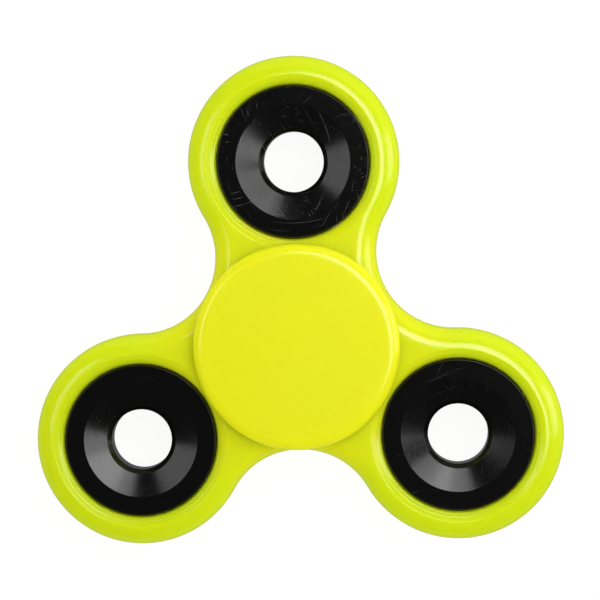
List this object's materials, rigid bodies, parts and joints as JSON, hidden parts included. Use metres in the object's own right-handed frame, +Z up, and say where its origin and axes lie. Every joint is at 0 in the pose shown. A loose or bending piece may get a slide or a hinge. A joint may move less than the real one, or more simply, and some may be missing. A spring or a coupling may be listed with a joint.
{
  "type": "fidget spinner",
  "caption": "Flat three-lobed hand spinner: moulded frame with steel ring weights, turning on a centre ball bearing between two round finger caps.",
  "frame": {"origin": "centre of the bottom finger cap's flat face, which the spinner rests on", "axes": "+Z up along the spin axis, towards the top finger cap; one lobe points towards +Y; +X to the right of that lobe"},
  "size_m": [0.076, 0.0699, 0.013],
  "materials": {
    "body_plastic": "glossy neon yellow-green ABS moulding, slightly translucent",
    "cap_plastic": "semi-gloss neon yellow ABS moulding, faint turning marks on the flat",
    "black_steel": "satin black coated steel with fine scratches",
    "ring_steel": "ground bearing steel",
    "ball_steel": "polished bearing steel",
    "shield_steel": "pressed sheet steel",
    "cage_steel": "stamped sheet steel",
    "rivet_steel": "soft steel, headed"
  },
  "bodies": {
    "handle": {"finger_cap_top": "cap_plastic", "finger_cap_bottom": "cap_plastic", "bearing_inner_ring": "ring_steel"},
    "rotor": {"body_frame": "body_plastic", "counterweight_1": "black_steel", "counterweight_2": "black_steel", "counterweight_3": "black_steel", "bearing_outer_ring": "ring_steel", "bearing_shield_top": "shield_steel", "bearing_shield_bottom": "shield_steel"},
    "cage": {"cage_half_top": "cage_steel", "cage_half_bottom": "cage_steel", "cage_rivet_1": "rivet_steel", "cage_rivet_2": "rivet_steel", "cage_rivet_3": "rivet_steel", "cage_rivet_4": "rivet_steel", "cage_rivet_5": "rivet_steel", "cage_rivet_6": "rivet_steel", "cage_rivet_7": "rivet_steel"},
    "ball_1": {"bearing_ball_1": "ball_steel"},
    "ball_2": {"bearing_ball_2": "ball_steel"},
    "ball_3": {"bearing_ball_3": "ball_steel"},
    "ball_4": {"bearing_ball_4": "ball_steel"},
    "ball_5": {"bearing_ball_5": "ball_steel"},
    "ball_6": {"bearing_ball_6": "ball_steel"},
    "ball_7": {"bearing_ball_7": "ball_steel"}
  },
  "joints": [
    {"name": "spin", "type": "hinge", "parent": "handle", "child": "rotor", "pos_m": [0, 0, 0.0065], "axis": [0, 0, 1], "continuous": true},
    {"name": "cage_orbit", "type": "hinge", "parent": "handle", "child": "cage", "pos_m": [0, 0, 0.0065], "axis": [0, 0, 1], "continuous": true},
    {"name": "ball_roll_1", "type": "hinge", "parent": "cage", "child": "ball_1", "pos_m": [0.0075, 0, 0.0065], "axis": [0, 0, 1], "continuous": true},
    {"name": "ball_roll_2", "type": "hinge", "parent": "cage", "child": "ball_2", "pos_m": [0.00468, 0.00586, 0.0065], "axis": [0, 0, 1], "continuous": true},
    {"name": "ball_roll_3", "type": "hinge", "parent": "cage", "child": "ball_3", "pos_m": [-0.00167, 0.00731, 0.0065], "axis": [0, 0, 1], "continuous": true},
    {"name": "ball_roll_4", "type": "hinge", "parent": "cage", "child": "ball_4", "pos_m": [-0.00676, 0.00325, 0.0065], "axis": [0, 0, 1], "continuous": true},
    {"name": "ball_roll_5", "type": "hinge", "parent": "cage", "child": "ball_5", "pos_m": [-0.00676, -0.00325, 0.0065], "axis": [0, 0, 1], "continuous": true},
    {"name": "ball_roll_6", "type": "hinge", "parent": "cage", "child": "ball_6", "pos_m": [-0.00167, -0.00731, 0.0065], "axis": [0, 0, 1], "continuous": true},
    {"name": "ball_roll_7", "type": "hinge", "parent": "cage", "child": "ball_7", "pos_m": [0.00468, -0.00586, 0.0065], "axis": [0, 0, 1], "continuous": true}
  ],
  "couplings": [
    {"joint": "cage_orbit", "follows": "spin", "ratio": 0.63227},
    {"joint": "ball_roll_1", "follows": "spin", "ratio": 1.7579},
    {"joint": "ball_roll_2", "follows": "spin", "ratio": 1.7579},
    {"joint": "ball_roll_3", "follows": "spin", "ratio": 1.7579},
    {"joint": "ball_roll_4", "follows": "spin", "ratio": 1.7579},
    {"joint": "ball_roll_5", "follows": "spin", "ratio": 1.7579},
    {"joint": "ball_roll_6", "follows": "spin", "ratio": 1.7579},
    {"joint": "ball_roll_7", "follows": "spin", "ratio": 1.7579}
  ]
}
